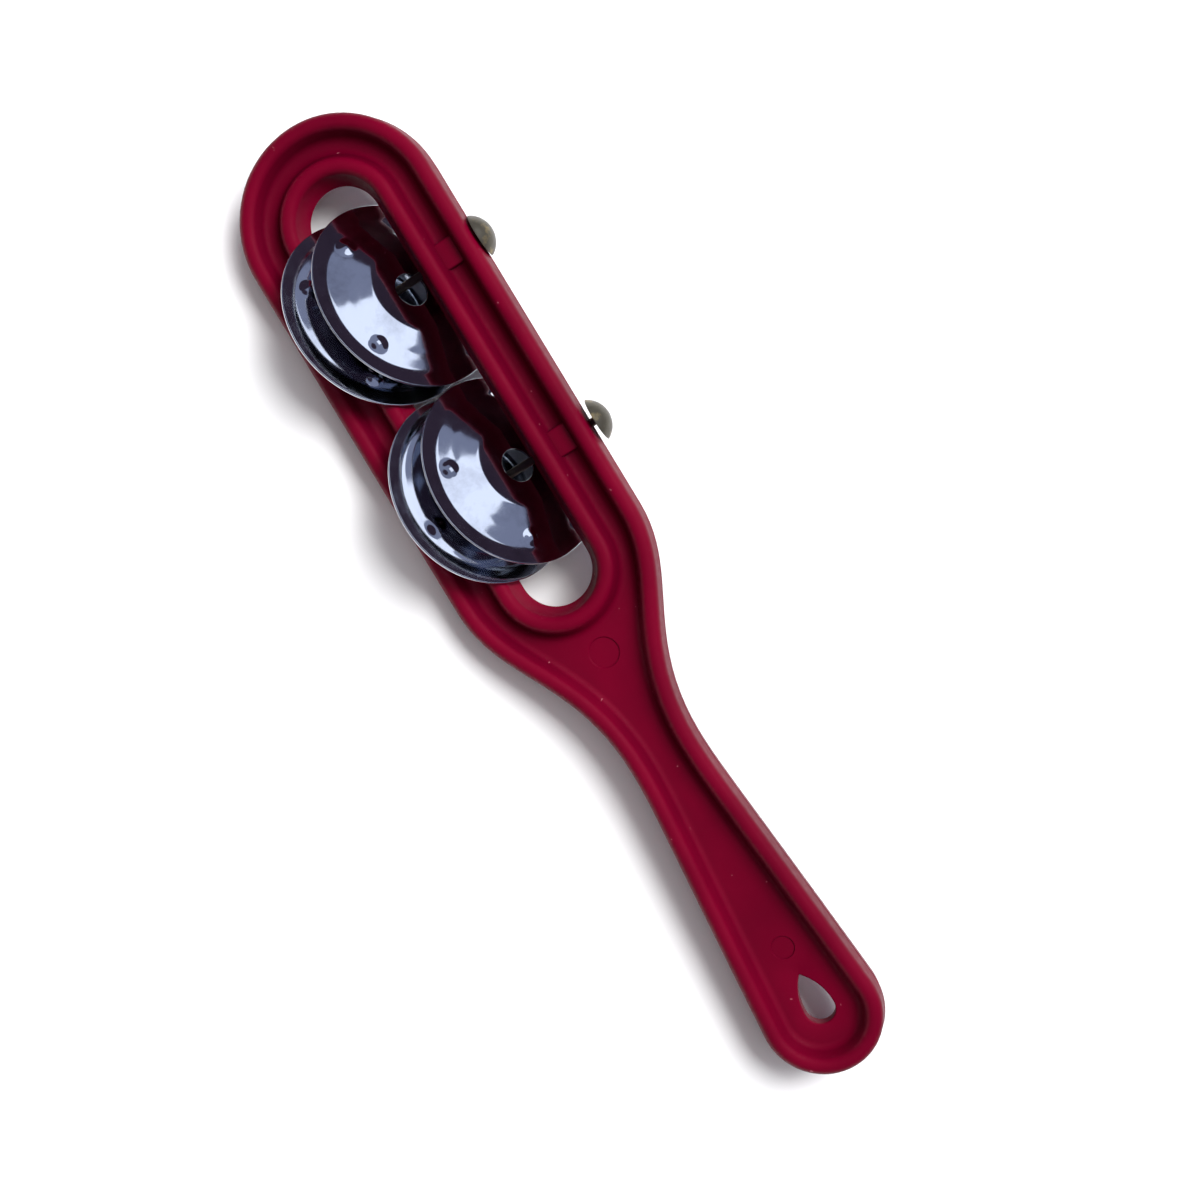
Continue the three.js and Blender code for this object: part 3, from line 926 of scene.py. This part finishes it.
def add_light(name, bearing, elevation, distance, size, power, tint="#ffffff", reflected=True):
    """Adds a soft light that faces the stick. Its bearing is from +X towards +Y. Both angles are in
    degrees, and only a reflected light shows in the plate."""
    data = bpy.data.lights.new(name, "AREA")
    data.shape = "RECTANGLE"
    data.size, data.size_y = size
    data.energy = power
    data.color = linear(tint)
    light = bpy.data.objects.new(name, data)
    turn = Matrix.Rotation(math.radians(bearing), 3, "Z")
    tip = Matrix.Rotation(-math.radians(elevation), 3, "Y")
    away = turn @ tip @ Vector((1, 0, 0))
    light.location = away * distance
    light.rotation_euler = away.to_track_quat("Z", "Y").to_euler()
    light.visible_camera = False
    light.visible_glossy = reflected
    bpy.context.scene.collection.objects.link(light)


def studio_world():
    """Dim purple-grey surroundings, which the camera alone sees as white as the table."""
    world = bpy.data.worlds.new("studio")
    world.use_nodes = True
    world.node_tree.nodes.clear()
    path = add_node(world, "ShaderNodeLightPath")
    tint = add_node(world, "ShaderNodeMix", {
        "Factor": path.outputs["Is Camera Ray"], MIX_A: linear("#352b3a"), MIX_B: linear("#ffffff"),
    }, data_type="RGBA")
    background = add_node(world, "ShaderNodeBackground", {"Color": tint.outputs[MIX_RESULT]})
    add_node(world, "ShaderNodeOutputWorld", {"Surface": background.outputs["Background"]})
    return world


class HANDJINGLE_OT_studio(bpy.types.Operator):
    """Set the table, the lights and the camera"""

    bl_idname = "hand_jingle.studio"
    bl_label = "Studio"

    def execute(self, context):
        studio = context.scene.hand_jingle.studio
        right, up, back = picture_axes(studio)
        aim = STICK @ Vector((studio.aim_across, studio.aim_along, 0))
        camera_data = bpy.data.cameras.new("camera")
        camera_data.sensor_width = SENSOR_WIDTH
        camera_data.lens = SENSOR_WIDTH * studio.distance / studio.picture_width
        camera_data.clip_start = NEAR_CLIP
        camera = bpy.data.objects.new("camera", camera_data)
        axes = Matrix((right, up, back)).transposed().to_4x4()
        camera.matrix_world = Matrix.Translation(aim + back * studio.distance) @ axes
        context.scene.collection.objects.link(camera)
        context.scene.camera = camera
        # Plain colours, so that the table stays white and the crimson deep
        context.scene.view_settings.view_transform = "Standard"

        bm = bmesh.new()
        bmesh.ops.create_grid(bm, x_segments=1, y_segments=1, size=studio.table / 2)
        floor = new_piece("table_top", bm, table_top())

        context.scene.world = studio_world()
        add_light(
            "window", bearing=11, elevation=46, distance=1.1, size=(0.55, 0.45), power=0.85, tint="#eef4ff",
        )
        add_light("sky", bearing=5, elevation=53, distance=1.3, size=(2.0, 0.95), power=2.1, tint="#c8d8ff")
        add_light(
            "key", bearing=14, elevation=64, distance=1.4, size=(0.7, 0.7), power=25, reflected=False,
        )
        add_light(
            "overhead", bearing=0, elevation=90, distance=2.2, size=(3.2, 3.2), power=30, reflected=False,
        )
        return {"FINISHED"}


class HANDJINGLE_PT_panel(bpy.types.Panel):
    """Lists the steps that build the hand jingle"""

    bl_idname = "HANDJINGLE_PT_panel"
    bl_label = "Hand Jingle"
    bl_space_type = "VIEW_3D"
    bl_region_type = "UI"
    bl_category = "Hand Jingle"

    def draw(self, context):
        for operator in OPERATORS:
            self.layout.operator(operator.bl_idname)


GROUPS = (StickSizes, NailSizes, JingleSizes, Finishes, StudioSizes, HandJingle)
OPERATORS = (
    HANDJINGLE_OT_studio,
    HANDJINGLE_OT_stick,
    HANDJINGLE_OT_caps,
    HANDJINGLE_OT_shanks,
    HANDJINGLE_OT_jingles,
)
CLASSES = (*GROUPS, *OPERATORS, HANDJINGLE_PT_panel)


def register():
    for cls in CLASSES:
        bpy.utils.register_class(cls)
    bpy.types.Scene.hand_jingle = PointerProperty(type=HandJingle)


def unregister():
    del bpy.types.Scene.hand_jingle
    for cls in reversed(CLASSES):
        bpy.utils.unregister_class(cls)


def main():
    register()
    bpy.ops.hand_jingle.studio()
    bpy.ops.hand_jingle.stick()
    bpy.ops.hand_jingle.caps()
    bpy.ops.hand_jingle.shanks()
    bpy.ops.hand_jingle.jingles()


if __name__ == "__main__":
    main()
